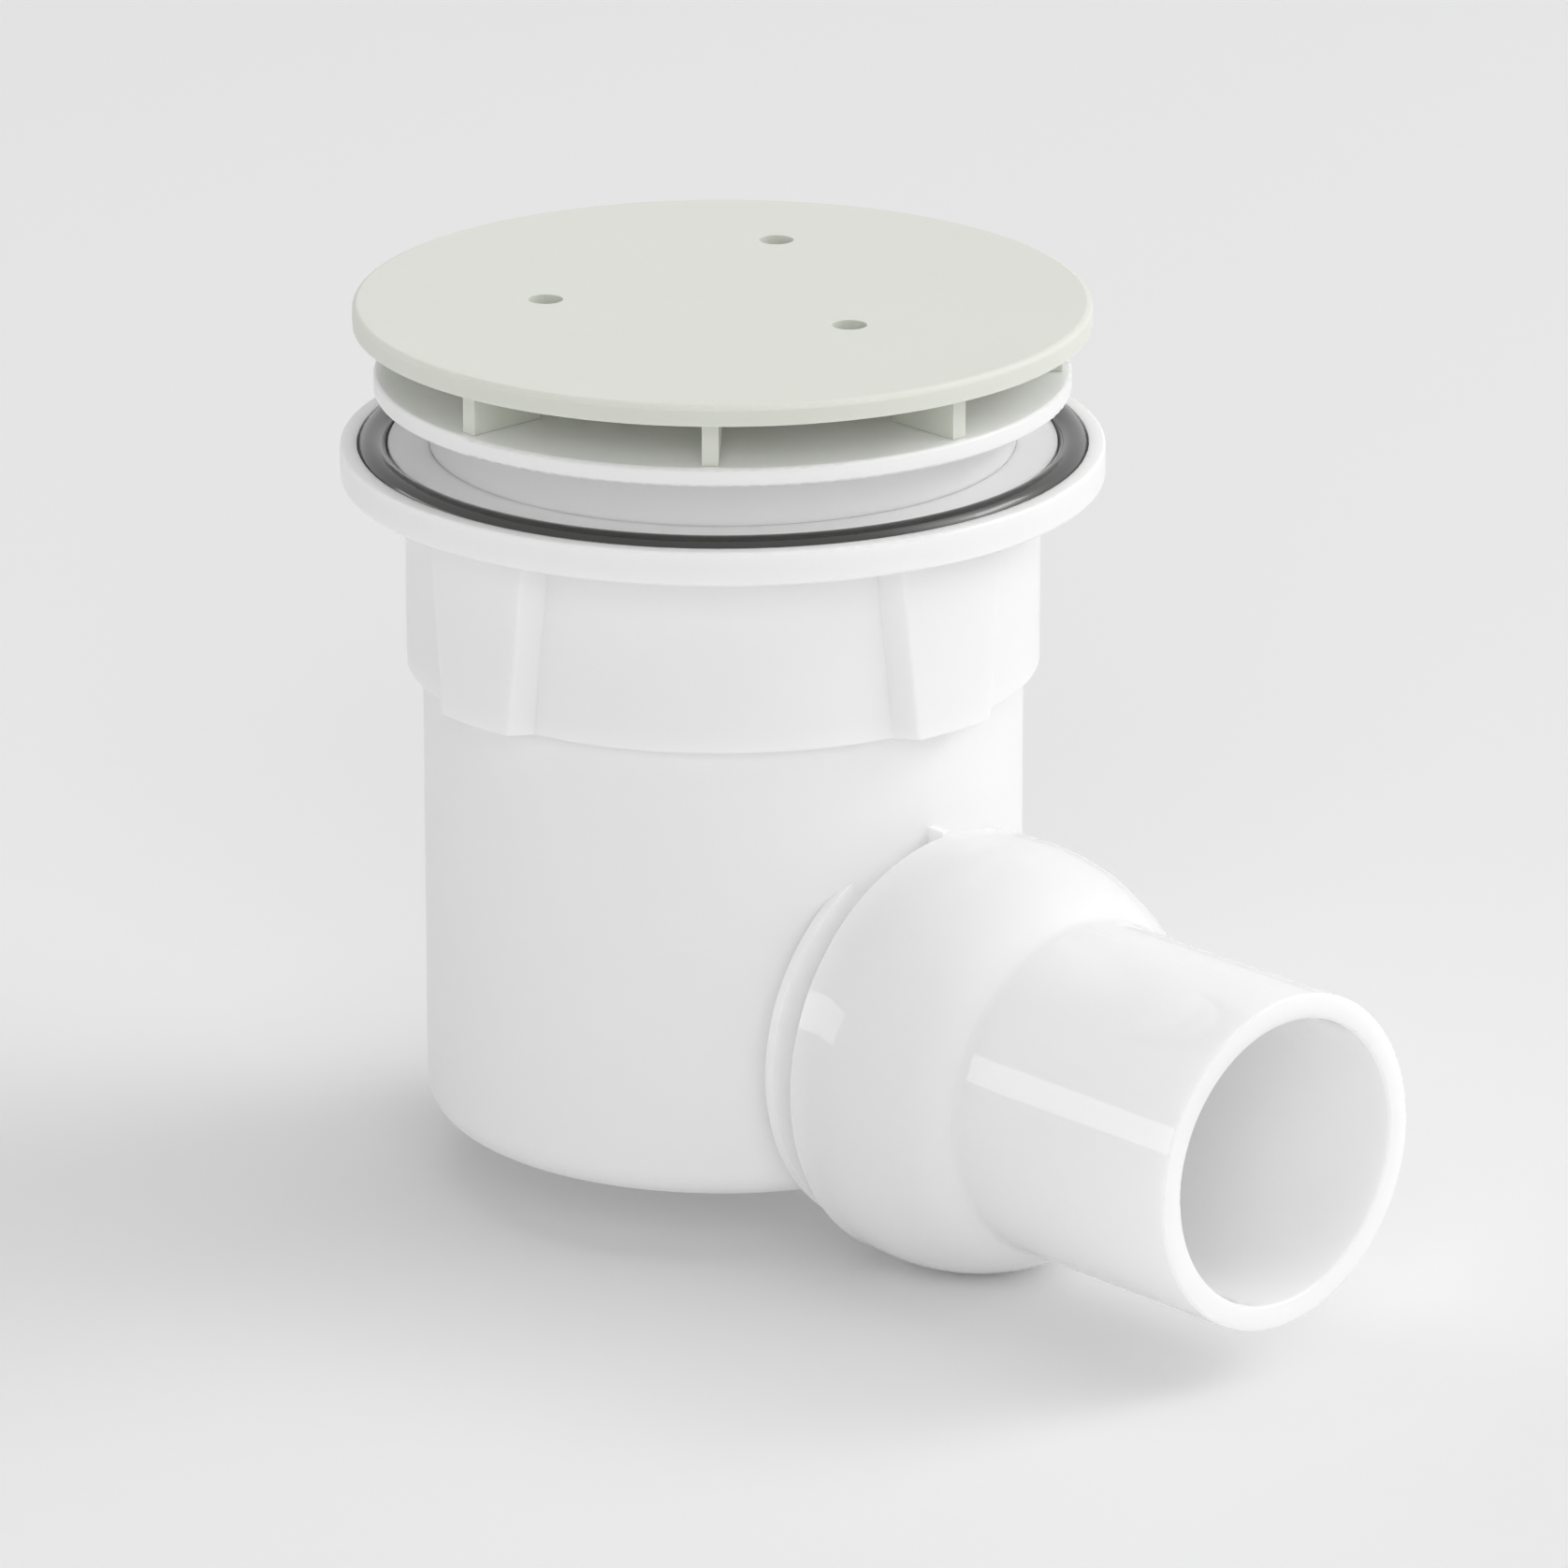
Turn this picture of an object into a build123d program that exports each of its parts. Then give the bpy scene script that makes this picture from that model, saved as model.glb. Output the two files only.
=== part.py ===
from build123d import *
import os
from math import cos, radians, sin, sqrt, tan

# Shower trap for a 90 mm tray hole, with a 50 mm spigot outlet on a snap-on ball joint.
# The origin is on the main axis, at the flange face that seats under the tray.
# +Z points up towards the cover and +X along the outlet. Sizes are in millimetres.

# Fits between pieces
thread_clearance = 0.05
drop_in_clearance = 0.3
groove_clearance = 0.1
ball_clearance = 0.3
ball_seal_clearance = 0.2
grip_clearance = 0.05

# Upper flange: clamping plate, threaded neck, and the hub that holds the insert
neck_radius = 43.36
neck_wall = 3.0
neck_depth = 25.0
clamp_gap = 8.2
plate_overhang = 8.14
plate_thickness = 2.9
plate_round = 0.5
hub_gap = 5.86
hub_wall = 5.5
hub_depth = 6.4
seat_width = 2.5
seat_depth = 2.5

# Trap body: flange, collar with grip lugs, and the round pot below them
flange_overhang = 9.52
flange_thickness = 5.0
flange_round = 0.4
collar_wall = 3.64
collar_step = 2.39
collar_shoulder = 5.3
thread_runout = 3.0
lug_count = 4
lug_rise = 3.05
lug_width_top = 20.8
lug_width_bottom = 14.6
lug_slope_run = 1.9
lug_round = 0.8
pot_depth = 103.9
pot_wall = 2.8
pot_corner = 5.0

# Tray seal: round rubber ring in a groove of the flange
tray_seal_inset = 4.77
tray_seal_section = 4.4
tray_seal_proud = 1.2

# Cover: disc on ribs, lifted off the plate so that water runs in all round
cover_overhang = 3.0
cover_thickness = 3.2
cover_round = 0.9
cover_lift = 7.2
rib_count = 8
rib_thickness = 2.4
rib_inset = 1.4
rib_length = 12.8
hole_count = 3
hole_radius = 2.6
hole_circle = 26.9
hole_centre_x = -4.2
hole_centre_y = 4.15
prong_count = 3
prong_length = 4.5
prong_depth = 6.0

# Insert: dip tube with its rim seal, and the cup that holds the water seal
rim_thickness = 2.0
skirt_wall = 4.2
mouth_bevel = 2.6
mouth_depth = 7.6
funnel_step = 9.5
funnel_drop = 10.0
funnel_round = 8.0
tube_wall = 2.0
bead_rise = 0.6
bead_height = 6.0
rim_seal_section = 2.4
rim_seal_drop = 3.4
cup_pass_gap = 1.0
cup_wall = 2.0
cup_corner = 4.0
cup_ground_gap = 7.1
foot_gap = 8.0
foot_width = 5.0
water_seal = 52.0
cup_rib_count = 3
cup_rib_thickness = 2.0
cup_rib_grip = 22.0

# Outlet: ball on the body, and the bowl with its spigot pipe that snaps over it
outlet_height = 22.03
pipe_radius = 25.0
pipe_wall = 3.74
pipe_reach = 62.63
pipe_edge_round = 0.4
stub_wall = 3.5
stub_reach = 15.0
stop_disc_set_back = 2.16
stop_disc_thickness = 1.6
stop_disc_lip = 4.18
ball_stand_off = 12.57
ball_wall = 7.34
ball_mouth_wall = 3.2
bowl_wall = 3.62
bowl_wrap = 6.45
bowl_draft_angle = 2.0
bowl_edge_round = 0.3
crease_round = 2.5
gusset_thickness = 1.25
gusset_inset = 0.1
gusset_gap = 0.9
ball_seal_section = 3.0
ball_seal_offset = 5.0

# Radii that follow from the sizes above
plate_radius = neck_radius + plate_overhang
hub_radius = neck_radius - neck_wall - hub_gap
hub_bore = hub_radius - hub_wall
seat_radius = hub_bore + seat_width
socket_radius = neck_radius + thread_clearance
collar_radius = socket_radius + collar_wall
flange_radius = collar_radius + flange_overhang
pot_radius = collar_radius - collar_step
pot_bore = pot_radius - pot_wall
tray_seal_radius = flange_radius - tray_seal_inset
skirt_radius = hub_bore - drop_in_clearance
mouth_radius = skirt_radius - skirt_wall
tube_bore = mouth_radius - funnel_step
tube_radius = tube_bore + tube_wall
cup_radius = hub_bore - cup_pass_gap
pipe_bore = pipe_radius - pipe_wall
ball_radius = pipe_bore + ball_wall
ball_socket_radius = ball_radius + ball_clearance
bowl_radius = ball_socket_radius + bowl_wall

# Heights and outlet positions that follow from the sizes above
plate_top = clamp_gap + plate_thickness
hub_bottom = clamp_gap - hub_depth
seat_height = plate_top - seat_depth
rim_top = seat_height + rim_thickness
cover_under = plate_top + cover_lift
cover_top = cover_under + cover_thickness
socket_bottom = -neck_depth - thread_runout
collar_bottom = socket_bottom - collar_shoulder
pot_bottom = -pot_depth
pot_floor = pot_bottom + pot_wall
cup_bottom = pot_floor + cup_ground_gap
cup_floor = cup_bottom + cup_wall
tube_bottom = cup_floor + foot_gap
cup_rim = tube_bottom + water_seal
outlet_z = pot_bottom + outlet_height
stop_disc_face = pot_radius - stop_disc_set_back
ball_centre = stop_disc_face + ball_stand_off
bowl_mouth = ball_centre - bowl_wrap
pipe_end = ball_centre + pipe_reach

# Outlet profiles are drawn as (distance along +X, radius about the outlet's axis)
outlet_axis = Axis((0, 0, outlet_z), (1, 0, 0))
outlet_plane = Plane(origin=(0, 0, outlet_z), x_dir=(1, 0, 0), z_dir=(0, -1, 0))

os.makedirs("parts", exist_ok=True)


def ring_seal(name, plane, axis, place, section):
    """Write a rubber ring: a round section at place, turned about the axis."""
    with BuildPart() as seal:
        with BuildSketch(plane):
            with Locations(place):
                Circle(section / 2)
        revolve(axis=axis)
    seal.part.label = name
    export_step(seal.part, f"parts/{name}.step")


# Cover: one moulding of disc, ribs that stand on the plate, and prongs that centre it
with BuildPart() as cover:
    with BuildSketch(Plane.XY.offset(cover_under)):
        Circle(plate_radius + cover_overhang)
    extrude(amount=cover_thickness)
    fillet(cover.faces().sort_by(Axis.Z)[-1].edges(), cover_round)
    with BuildSketch(Plane.XY.offset(plate_top)):
        with PolarLocations(plate_radius - rib_inset - rib_length / 2, rib_count):
            Rectangle(rib_length, rib_thickness)
    extrude(amount=cover_lift)
    prong_outer = sqrt((mouth_radius - drop_in_clearance) ** 2 - (rib_thickness / 2) ** 2)
    with BuildSketch(Plane.XY.offset(plate_top - prong_depth)):
        with PolarLocations(prong_outer - prong_length / 2, prong_count, start_angle=180 / prong_count):
            Rectangle(prong_length, rib_thickness)
    extrude(amount=prong_depth + cover_lift)
    with Locations((hole_centre_x, hole_centre_y, cover_top)):
        with PolarLocations(hole_circle, hole_count):
            Hole(hole_radius, depth=cover_thickness)
cover.part.label = "cover"
export_step(cover.part, "parts/cover.step")

# Upper flange: flat plate over the tray, neck that screws into the body, hub for the insert
with BuildPart() as upper_flange:
    with BuildSketch(Plane.XZ) as section:
        with BuildLine():
            Polyline(
                (seat_radius, plate_top),
                (plate_radius, plate_top),
                (plate_radius, clamp_gap),
                (neck_radius, clamp_gap),
                (neck_radius, -neck_depth),
                (neck_radius - neck_wall, -neck_depth),
                (neck_radius - neck_wall, clamp_gap),
                (hub_radius, clamp_gap),
                (hub_radius, hub_bottom),
                (hub_bore, hub_bottom),
                (hub_bore, seat_height),
                (seat_radius, seat_height),
                close=True,
            )
        make_face()
        fillet(section.vertices().group_by(Axis.X)[-1], plate_round)
    revolve(axis=Axis.Z)
upper_flange.part.label = "upper_flange"
export_step(upper_flange.part, "parts/upper_flange.step")

# Tray seal: stands a little proud of the flange, so that clamping squeezes it
tray_seal_height = tray_seal_proud - tray_seal_section / 2
ring_seal("tray_seal", Plane.XZ, Axis.Z, (tray_seal_radius, tray_seal_height), tray_seal_section)

# Grip lug of the collar: raised on sloping sides, narrower towards its lower end
lug_radius = collar_radius + lug_rise
lug_root_radius = collar_radius - collar_step / 2
lug_slope = lug_slope_run / lug_rise
with BuildPart() as grip_lug:
    for height, width in ((-flange_thickness, lug_width_top), (collar_bottom, lug_width_bottom)):
        half_face = width / 2
        half_root = half_face + lug_slope * (lug_radius - lug_root_radius)
        face_x = sqrt(lug_radius**2 - half_face**2)
        root_x = sqrt(lug_root_radius**2 - half_root**2)
        with BuildSketch(Plane.XY.offset(height)):
            with BuildLine():
                ThreePointArc((face_x, -half_face), (lug_radius, 0), (face_x, half_face))
                Polyline(
                    (face_x, half_face),
                    (root_x, half_root),
                    (root_x, -half_root),
                    (face_x, -half_face),
                )
            make_face()
    loft(ruled=True)
    upright = grip_lug.edges().filter_by(lambda edge: abs(edge.tangent_at(0.5).Z) > 0.5)
    fillet(upright.sort_by(Axis.X)[-2:], lug_round)

# Trap body: one moulding of flange, lugged collar, pot, outlet stub and ball
stub_start = pot_bore - stub_reach
stub_radius = pipe_bore + stub_wall
ball_root_radius = sqrt(ball_radius**2 - ball_stand_off**2)
stop_disc_radius = ball_root_radius + stop_disc_lip
ball_mouth_radius = pipe_bore + ball_mouth_wall
ball_mouth = ball_centre + sqrt(ball_radius**2 - ball_mouth_radius**2)
ball_seal_orbit = ball_socket_radius - ball_seal_clearance - ball_seal_section / 2
ball_seal_radius = sqrt(ball_seal_orbit**2 - ball_seal_offset**2)
ball_seal_x = ball_centre + ball_seal_offset
ball_groove = ball_seal_section + 2 * groove_clearance
tray_groove = tray_seal_section + 2 * groove_clearance
tray_groove_depth = tray_seal_section + groove_clearance - tray_seal_proud
with BuildPart() as trap_body:
    with BuildSketch(Plane.XZ) as outside:
        with BuildLine():
            Polyline(
                (0, 0),
                (flange_radius, 0),
                (flange_radius, -flange_thickness),
                (collar_radius, -flange_thickness),
                (collar_radius, collar_bottom),
                (pot_radius, collar_bottom),
                (pot_radius, pot_bottom),
                (0, pot_bottom),
                close=True,
            )
        make_face()
        fillet(outside.vertices().group_by(Axis.X)[-1], flange_round)
        fillet(outside.vertices().sort_by_distance((pot_radius, pot_bottom))[0], pot_corner)
    revolve(axis=Axis.Z)
    with PolarLocations(0, lug_count):
        add(grip_lug.part)

    # Outlet stub with its stop disc, and the ball that the bowl snaps over
    with BuildSketch(outlet_plane):
        with BuildLine():
            Polyline(
                (ball_mouth, ball_mouth_radius),
                (ball_mouth, 0),
                (stub_start, 0),
                (stub_start, stub_radius),
                (stop_disc_face - stop_disc_thickness, stub_radius),
                (stop_disc_face - stop_disc_thickness, stop_disc_radius),
                (stop_disc_face, stop_disc_radius),
                (stop_disc_face, ball_root_radius),
            )
            ThreePointArc(
                (stop_disc_face, ball_root_radius),
                (ball_centre, ball_radius),
                (ball_mouth, ball_mouth_radius),
            )
        make_face()
    revolve(axis=outlet_axis)

    # Gusset on top, in the mid plane, from the pot's wall to just short of the bowl
    with BuildSketch(outlet_plane):
        with BuildLine():
            Polyline(
                (pot_bore, stub_radius),
                (pot_bore, bowl_radius - gusset_inset),
                (bowl_mouth - gusset_gap, bowl_radius - gusset_inset),
                (bowl_mouth - gusset_gap, stub_radius),
                close=True,
            )
        make_face()
    extrude(amount=gusset_thickness / 2, both=True)

    # Inside: threaded socket for the neck, and the pot
    with BuildSketch(Plane.XZ) as inside:
        with BuildLine():
            Polyline(
                (0, 0),
                (socket_radius, 0),
                (socket_radius, socket_bottom),
                (pot_bore, socket_bottom),
                (pot_bore, pot_floor),
                (0, pot_floor),
                close=True,
            )
        make_face()
        fillet(inside.vertices().sort_by_distance((pot_bore, pot_floor))[0], pot_corner - pot_wall)
    revolve(axis=Axis.Z, mode=Mode.SUBTRACT)

    # Waterway through the stub, level with the floor of the pot
    with BuildSketch(outlet_plane):
        with BuildLine():
            Polyline(
                (stub_start + stub_wall, 0),
                (ball_mouth, 0),
                (ball_mouth, pipe_bore),
                (stub_start + stub_wall, pipe_bore),
                close=True,
            )
        make_face()
    revolve(axis=outlet_axis, mode=Mode.SUBTRACT)

    # Seal grooves of the ball and of the flange
    with BuildSketch(outlet_plane):
        with Locations((ball_seal_x, ball_seal_radius - ball_groove / 2)):
            Rectangle(ball_groove, ball_radius, align=(Align.CENTER, Align.MIN))
    revolve(axis=outlet_axis, mode=Mode.SUBTRACT)
    with BuildSketch(Plane.XZ):
        with Locations((tray_seal_radius, 0)):
            Rectangle(tray_groove, tray_groove_depth, align=(Align.CENTER, Align.MAX))
    revolve(axis=Axis.Z, mode=Mode.SUBTRACT)
trap_body.part.label = "trap_body"
export_step(trap_body.part, "parts/trap_body.step")

# Dip tube: rim that rests on the hub's seat, sealed skirt, funnel and tube
mouth_bottom = rim_top - mouth_depth
funnel_bottom = mouth_bottom - funnel_drop
bead_centre = tube_bottom + bead_height
rim_seal_radius = hub_bore - grip_clearance - rim_seal_section / 2
rim_seal_height = seat_height - rim_seal_drop
rim_groove = rim_seal_section + 2 * groove_clearance
with BuildPart() as dip_tube:
    with BuildSketch(Plane.XZ) as section:
        with BuildLine():
            Polyline(
                (seat_radius - drop_in_clearance, seat_height),
                (seat_radius - drop_in_clearance, rim_top),
                (mouth_radius + mouth_bevel, rim_top),
                (mouth_radius, rim_top - mouth_bevel),
                (mouth_radius, mouth_bottom),
                (tube_bore, funnel_bottom),
                (tube_bore, tube_bottom),
                (tube_radius, tube_bottom),
                (tube_radius, bead_centre - bead_rise),
                (tube_radius + bead_rise, bead_centre),
                (tube_radius, bead_centre + bead_rise),
                (tube_radius, funnel_bottom - tube_wall),
                (skirt_radius, hub_bottom),
                (skirt_radius, seat_height),
                close=True,
            )
        make_face()
        bends = (
            (mouth_radius, mouth_bottom),
            (tube_bore, funnel_bottom),
            (tube_radius, funnel_bottom - tube_wall),
        )
        fillet([section.vertices().sort_by_distance(bend)[0] for bend in bends], funnel_round)
    revolve(axis=Axis.Z)
    with BuildSketch(Plane.XZ):
        with Locations((rim_seal_radius - rim_groove / 2, rim_seal_height)):
            Rectangle(skirt_wall, rim_groove, align=(Align.MIN, Align.CENTER))
    revolve(axis=Axis.Z, mode=Mode.SUBTRACT)
dip_tube.part.label = "dip_tube"
export_step(dip_tube.part, "parts/dip_tube.step")

# Rim seal: rubber ring round the skirt of the dip tube
ring_seal("rim_seal", Plane.XZ, Axis.Z, (rim_seal_radius, rim_seal_height), rim_seal_section)

# Siphon cup: holds the water seal; its ribs carry the tube's end and snap round its bead
grip_radius = tube_radius + grip_clearance
rib_root = cup_radius - cup_wall / 2
with BuildPart() as siphon_cup:
    with BuildSketch(Plane.XZ) as section:
        with BuildLine():
            Polyline(
                (0, cup_bottom),
                (cup_radius, cup_bottom),
                (cup_radius, cup_rim),
                (cup_radius - cup_wall, cup_rim),
                (cup_radius - cup_wall, cup_floor),
                (0, cup_floor),
                close=True,
            )
        make_face()
        fillet(section.vertices().sort_by_distance((cup_radius, cup_bottom))[0], cup_corner)
        inner_corner = (cup_radius - cup_wall, cup_floor)
        fillet(section.vertices().sort_by_distance(inner_corner)[0], cup_corner - cup_wall)
    revolve(axis=Axis.Z)
    with BuildSketch(Plane.XZ) as rib:
        with BuildLine():
            Polyline(
                (tube_radius - foot_width, cup_floor - cup_wall / 2),
                (tube_radius - foot_width, tube_bottom),
                (grip_radius, tube_bottom),
                (grip_radius, bead_centre - bead_rise),
                (grip_radius + bead_rise, bead_centre),
                (grip_radius, bead_centre + bead_rise),
                (grip_radius, tube_bottom + cup_rib_grip),
                (rib_root, tube_bottom + cup_rib_grip),
                (rib_root, cup_floor - cup_wall / 2),
                close=True,
            )
        make_face()
    with PolarLocations(0, cup_rib_count):
        extrude(rib.sketch, amount=cup_rib_thickness / 2, both=True)
siphon_cup.part.label = "siphon_cup"
export_step(siphon_cup.part, "parts/siphon_cup.step")

# Ball seal: rubber ring in the ball's groove, on which the bowl turns
ring_seal("ball_seal", outlet_plane, outlet_axis, (ball_seal_x, ball_seal_radius), ball_seal_section)

# Swivel outlet: one moulding of the bowl that snaps over the ball and the spigot pipe;
# the bowl's outside runs back from its widest place as a straight drafted band
with BuildPart() as swivel_outlet:
    draft = radians(bowl_draft_angle)
    band_start = ball_centre - bowl_radius * sin(draft)
    band_radius = bowl_radius * cos(draft)
    mouth_outer = band_radius - (band_start - bowl_mouth) * tan(draft)
    mouth_inner = sqrt(ball_socket_radius**2 - bowl_wrap**2)
    outer_crease = ball_centre + sqrt(bowl_radius**2 - pipe_radius**2)
    inner_crease = ball_centre + sqrt(ball_socket_radius**2 - pipe_bore**2)
    with BuildSketch(outlet_plane) as section:
        with BuildLine():
            Line((bowl_mouth, mouth_outer), (band_start, band_radius))
            ThreePointArc(
                (band_start, band_radius),
                (ball_centre, bowl_radius),
                (outer_crease, pipe_radius),
            )
            Polyline(
                (outer_crease, pipe_radius),
                (pipe_end, pipe_radius),
                (pipe_end, pipe_bore),
                (inner_crease, pipe_bore),
            )
            ThreePointArc(
                (inner_crease, pipe_bore),
                (ball_centre, ball_socket_radius),
                (bowl_mouth, mouth_inner),
            )
            Line((bowl_mouth, mouth_inner), (bowl_mouth, mouth_outer))
        make_face()
        fillet(section.vertices().sort_by_distance((outer_crease, pipe_radius))[0], crease_round)
        fillet(section.vertices().group_by(Axis.X)[-1], pipe_edge_round)
        fillet(section.vertices().sort_by_distance((bowl_mouth, mouth_outer))[0], bowl_edge_round)
    revolve(axis=outlet_axis)
swivel_outlet.part.label = "swivel_outlet"
export_step(swivel_outlet.part, "parts/swivel_outlet.step")
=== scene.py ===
import math

import bpy
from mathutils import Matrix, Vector


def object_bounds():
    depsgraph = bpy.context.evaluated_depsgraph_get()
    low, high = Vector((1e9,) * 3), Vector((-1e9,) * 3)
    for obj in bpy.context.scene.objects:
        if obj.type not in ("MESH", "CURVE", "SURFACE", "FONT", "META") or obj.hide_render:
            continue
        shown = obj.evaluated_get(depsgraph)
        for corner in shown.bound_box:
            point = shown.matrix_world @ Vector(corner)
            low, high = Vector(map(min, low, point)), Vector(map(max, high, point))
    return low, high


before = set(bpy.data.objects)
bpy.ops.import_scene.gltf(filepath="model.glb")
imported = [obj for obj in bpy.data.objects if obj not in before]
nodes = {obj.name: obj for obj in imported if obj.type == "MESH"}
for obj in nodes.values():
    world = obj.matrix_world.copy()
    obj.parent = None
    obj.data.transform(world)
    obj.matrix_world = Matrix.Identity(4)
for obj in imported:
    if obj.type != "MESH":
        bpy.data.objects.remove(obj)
cad_low, cad_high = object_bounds()


# Trap body: flange, lugged collar, pot, outlet stub and ball in one moulding.
# White polypropylene, injection moulded in a fine-eroded tool, so it is satin and lets
# light a little way in; its colour and gloss drift slightly where the melt flowed.


def linear(hex_colour):
    """sRGB hex to linear RGBA: c / 12.92 below 0.04045, else ((c + 0.055) / 1.055) ** 2.4."""
    channels = [int(hex_colour[i : i + 2], 16) / 255 for i in (1, 3, 5)]
    return [c / 12.92 if c <= 0.04045 else ((c + 0.055) / 1.055) ** 2.4 for c in channels] + [1.0]


def add_node(tree, kind, settings=None, inputs=None):
    """Add a node; settings are its properties, inputs its sockets, each a value or a socket to link."""
    node = tree.nodes.new(kind)
    for key, value in (settings or {}).items():
        setattr(node, key, value)
    for key, value in (inputs or {}).items():
        if isinstance(value, bpy.types.NodeSocket):
            tree.links.new(value, node.inputs[key])
        else:
            node.inputs[key].default_value = value
    return node


def moulded_plastic(
    name,
    light_hex,
    dark_hex,
    flow_mm,
    grain_mm,
    grain_depth_mm,
    roughness,
    roughness_drift,
    scatter_mm,
    ior=1.49,
):
    """A moulded plastic or rubber. The melt's flow, flow_mm wide, shifts the colour between light_hex
    and dark_hex and the roughness by roughness_drift either way. The tool's grain, grain_mm wide and
    grain_depth_mm deep, is a bump. Light goes scatter_mm deep before it comes out again, and ior is
    the refraction, polypropylene's unless another is given."""
    mm_per_metre = 1000
    flow_layers = 3.0
    flow_falloff = 0.5
    grain_layers = 2.0
    grain_falloff = 0.6
    material = bpy.data.materials.new(name)
    material.use_nodes = True
    tree = material.node_tree
    shader = tree.nodes["Principled BSDF"]
    place = add_node(tree, "ShaderNodeTexCoord").outputs["Object"]
    flow = add_node(
        tree,
        "ShaderNodeTexNoise",
        inputs={
            "Vector": place,
            "Scale": mm_per_metre / flow_mm,
            "Detail": flow_layers,
            "Roughness": flow_falloff,
        },
    ).outputs["Fac"]
    colour = add_node(tree, "ShaderNodeMix", {"data_type": "RGBA"}, {"Factor": flow})
    colour.inputs["A"].default_value = linear(light_hex)
    colour.inputs["B"].default_value = linear(dark_hex)
    tree.links.new(colour.outputs["Result"], shader.inputs["Base Color"])
    sheen = add_node(
        tree,
        "ShaderNodeMapRange",
        inputs={
            "Value": flow,
            "To Min": roughness - roughness_drift,
            "To Max": roughness + roughness_drift,
        },
    )
    tree.links.new(sheen.outputs["Result"], shader.inputs["Roughness"])
    grain = add_node(
        tree,
        "ShaderNodeTexNoise",
        inputs={
            "Vector": place,
            "Scale": mm_per_metre / grain_mm,
            "Detail": grain_layers,
            "Roughness": grain_falloff,
        },
    ).outputs["Fac"]
    bump = add_node(
        tree,
        "ShaderNodeBump",
        inputs={"Height": grain, "Distance": grain_depth_mm / mm_per_metre, "Strength": 1.0},
    )
    tree.links.new(bump.outputs["Normal"], shader.inputs["Normal"])
    shader.inputs["IOR"].default_value = ior
    shader.inputs["Subsurface Weight"].default_value = 1.0 if scatter_mm else 0.0
    shader.inputs["Subsurface Radius"].default_value = (1.0, 1.0, 1.0)
    shader.inputs["Subsurface Scale"].default_value = scatter_mm / mm_per_metre
    return material


def dress(node_name, material):
    """Give a CAD node its finish."""
    slots = nodes[node_name].data.materials
    slots.clear()
    slots.append(material)


# The eroded tool's grain is about 0.05 mm wide and is drawn ten times coarser, so that it shows.
satin_polypropylene = moulded_plastic(
    "satin_white_polypropylene",
    light_hex="#f7f7f7",
    dark_hex="#f4f4f4",
    flow_mm=35,
    grain_mm=0.5,
    grain_depth_mm=0.002,
    roughness=0.38,
    roughness_drift=0.03,
    scatter_mm=1.2,
)
dress("trap_body", satin_polypropylene)

# Seals: round-section rubber rings of the tray, the ball and the insert's rim.
# EPDM rubber, pressed in a polished mould, so it is nearly black with a clear sheen. Its carbon
# black lifts the refraction above plain rubber's, and its fine grain is drawn coarser to show.
seal_rubber = moulded_plastic(
    "black_rubber_epdm",
    light_hex="#23211f",
    dark_hex="#1d1b19",
    flow_mm=8,
    grain_mm=0.4,
    grain_depth_mm=0.004,
    roughness=0.1,
    roughness_drift=0.03,
    scatter_mm=0,
    ior=1.7,
)
for seal in ("tray_seal", "ball_seal", "rim_seal"):
    dress(seal, seal_rubber)

# Swivel outlet: bowl and spigot pipe in one moulding, snapped over the ball.
# White polypropylene from a polished tool: lamps mirror crisply in it, a shallow wave of the
# tool's hand polish is its only grain, and light goes right through its thin wall.
polished_polypropylene = moulded_plastic(
    "polished_white_polypropylene",
    light_hex="#fcfcfc",
    dark_hex="#fafafa",
    flow_mm=40,
    grain_mm=3.0,
    grain_depth_mm=0.0001,
    roughness=0.012,
    roughness_drift=0.005,
    scatter_mm=5.5,
)
dress("swivel_outlet", polished_polypropylene)

# Upper flange, dip tube and siphon cup: the flange screws into the body through the tray's hole,
# the tube rests by its rim in the flange, and the cup that holds the water seal snaps on to the tube.
# They are moulded in the same satin polypropylene as the body.
for piece in ("upper_flange", "dip_tube", "siphon_cup"):
    dress(piece, satin_polypropylene)

# Cover: disc, ribs and prongs in one moulding that drops on to the flange.
# ABS coloured right through in a grey green, with the fine matt grain of its tool, drawn
# coarser to show.
cover_abs = moulded_plastic(
    "matt_grey_green_abs",
    light_hex="#e2e4dc",
    dark_hex="#dfe1d9",
    flow_mm=30,
    grain_mm=0.4,
    grain_depth_mm=0.003,
    roughness=0.5,
    roughness_drift=0.03,
    scatter_mm=0.3,
)
dress("cover", cover_abs)

# Floor: a wide pale sheet that the trap stands on, at the lowest point of the outlet's bowl.
# Its paint is dead matt, so it takes the trap's shadow and mirrors nothing.
floor_half = 10.0
floor_corners = [
    (-floor_half, -floor_half, cad_low.z),
    (floor_half, -floor_half, cad_low.z),
    (floor_half, floor_half, cad_low.z),
    (-floor_half, floor_half, cad_low.z),
]
floor_mesh = bpy.data.meshes.new("floor")
floor_mesh.from_pydata(floor_corners, [], [(0, 1, 2, 3)])
floor = bpy.data.objects.new("floor", floor_mesh)
bpy.context.scene.collection.objects.link(floor)
floor_paint = bpy.data.materials.new("pale_floor")
floor_paint.use_nodes = True
floor_shader = floor_paint.node_tree.nodes["Principled BSDF"]
floor_shader.inputs["Base Color"].default_value = linear("#efefef")
floor_shader.inputs["Roughness"].default_value = 0.9
floor_shader.inputs["Specular IOR Level"].default_value = 0.0
floor_mesh.materials.append(floor_paint)

# Light: a white room that grows lighter towards its window, and five soft boxes.
# The window is behind the trap on the right, so the shadow falls to the front and left. The camera
# and glossy faces see a pale backdrop, which puts no more light on the trap.


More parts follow.
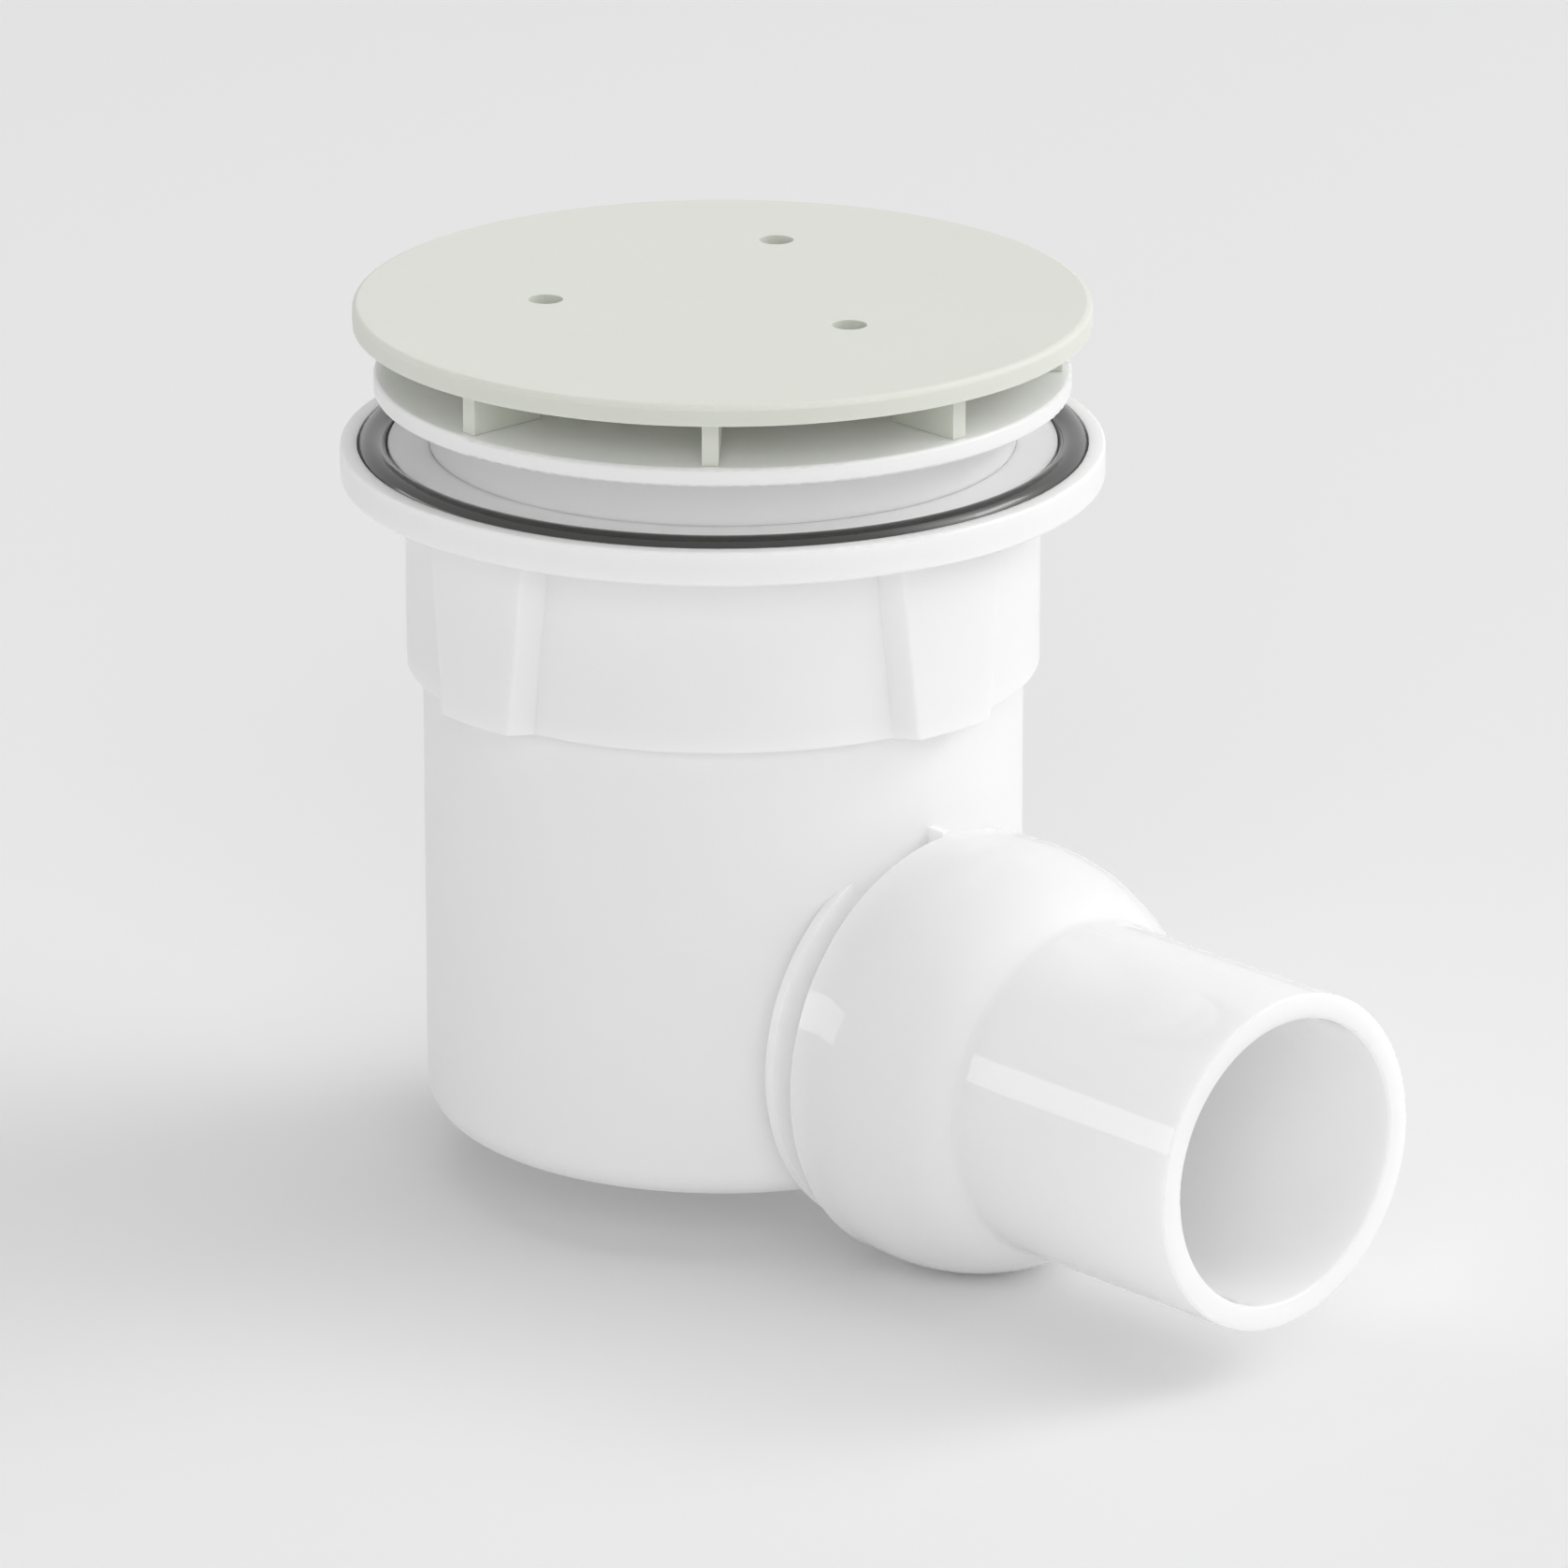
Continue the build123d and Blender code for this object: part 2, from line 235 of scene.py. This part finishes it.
def towards(azimuth, elevation):
    """Unit vector to a direction: azimuth turns from x towards y, elevation rises from the floor."""
    turn = math.radians(azimuth)
    rise = math.radians(elevation)
    return Vector((math.cos(turn) * math.cos(rise), math.sin(turn) * math.cos(rise), math.sin(rise)))


window_direction = towards(azimuth=54, elevation=34)
window_focus = 18.0
window_strength = 2.9
wall_focus = 2.0
wall_strength = 0.25
room_strength = 0.4
backdrop_strength = 0.82
world = bpy.data.worlds.new("white_room")
world.use_nodes = True
sky = world.node_tree
background = sky.nodes["Background"]
background.inputs["Color"].default_value = linear("#ffffff")
ray_direction = add_node(sky, "ShaderNodeTexCoord").outputs["Generated"]
closeness = add_node(
    sky, "ShaderNodeVectorMath", {"operation": "DOT_PRODUCT"}, {0: ray_direction, 1: window_direction}
).outputs["Value"]
facing = add_node(
    sky, "ShaderNodeMath", {"operation": "MAXIMUM"}, {0: closeness, 1: 0.0}
).outputs["Value"]
glow = add_node(
    sky, "ShaderNodeMath", {"operation": "POWER"}, {0: facing, 1: window_focus}
).outputs["Value"]
wall = add_node(
    sky, "ShaderNodeMath", {"operation": "POWER"}, {0: facing, 1: wall_focus}
).outputs["Value"]
ray = add_node(sky, "ShaderNodeLightPath").outputs
room = add_node(
    sky,
    "ShaderNodeMapRange",
    inputs={"Value": ray["Is Glossy Ray"], "To Min": room_strength, "To Max": backdrop_strength},
).outputs["Result"]
lit_wall = add_node(
    sky, "ShaderNodeMath", {"operation": "MULTIPLY_ADD"}, {0: wall, 1: wall_strength, 2: room}
).outputs["Value"]
lit_room = add_node(
    sky, "ShaderNodeMath", {"operation": "MULTIPLY_ADD"}, {0: glow, 1: window_strength, 2: lit_wall}
).outputs["Value"]
brightness = add_node(
    sky,
    "ShaderNodeMapRange",
    inputs={"Value": ray["Is Camera Ray"], "To Min": lit_room, "To Max": backdrop_strength},
).outputs["Result"]
sky.links.new(brightness, background.inputs["Strength"])
bpy.context.scene.world = world


def soft_box(name, azimuth, elevation, distance, width, height, power, mirrored):
    """A rectangular lamp in a direction from the pot's middle, facing it, with angles in degrees, sizes in
    metres and power in watts. Only a mirrored lamp shows in glossy faces."""
    pot_middle = Vector((0.02, 0, -0.05))
    away = towards(azimuth, elevation)
    lamp = bpy.data.lights.new(name, "AREA")
    lamp.shape = "RECTANGLE"
    lamp.size = width
    lamp.size_y = height
    lamp.energy = power
    box = bpy.data.objects.new(name, lamp)
    box.location = pot_middle + away * distance
    box.rotation_euler = away.to_track_quat("Z", "Y").to_euler()
    box.visible_glossy = mirrored
    bpy.context.scene.collection.objects.link(box)


soft_box(
    "key_right", azimuth=62, elevation=33, distance=1.8,
    width=0.8, height=0.35, power=2.4, mirrored=True,
)
soft_box(
    "low_back", azimuth=100, elevation=8, distance=1.8,
    width=0.45, height=0.45, power=2.8, mirrored=False,
)
soft_box(
    "overhead", azimuth=0, elevation=90, distance=1.8,
    width=1.4, height=1.4, power=5.4, mirrored=False,
)
soft_box(
    "front", azimuth=-40, elevation=25, distance=3.5,
    width=2.45, height=2.1, power=31.5, mirrored=False,
)
soft_box(
    "left_panel", azimuth=214.5, elevation=11.4, distance=2.0,
    width=1.37, height=0.5, power=3.6, mirrored=True,
)

# Camera: a long lens that looks down on the trap from its outlet side.
# Its place, direction and focal length were fitted to the circles of cover, flange and outlet.
camera_lens = bpy.data.cameras.new("camera")
camera_lens.sensor_width = 36
camera_lens.lens = 241.77
camera = bpy.data.objects.new("camera", camera_lens)
camera.location = (1.09067, -1.01463, 0.4541)
view_direction = Vector((-0.68904, 0.64885, -0.32282))
camera.rotation_euler = view_direction.to_track_quat("-Z", "Y").to_euler()
bpy.context.scene.collection.objects.link(camera)
bpy.context.scene.camera = camera
bpy.context.scene.view_settings.view_transform = "Standard"

# Light paths: white plastic hands light on many times, most of all in the outlet's bore
# and under the cover, so more bounces are followed than usual.
light_paths = bpy.context.scene.cycles
light_paths.max_bounces = 24
light_paths.diffuse_bounces = 12
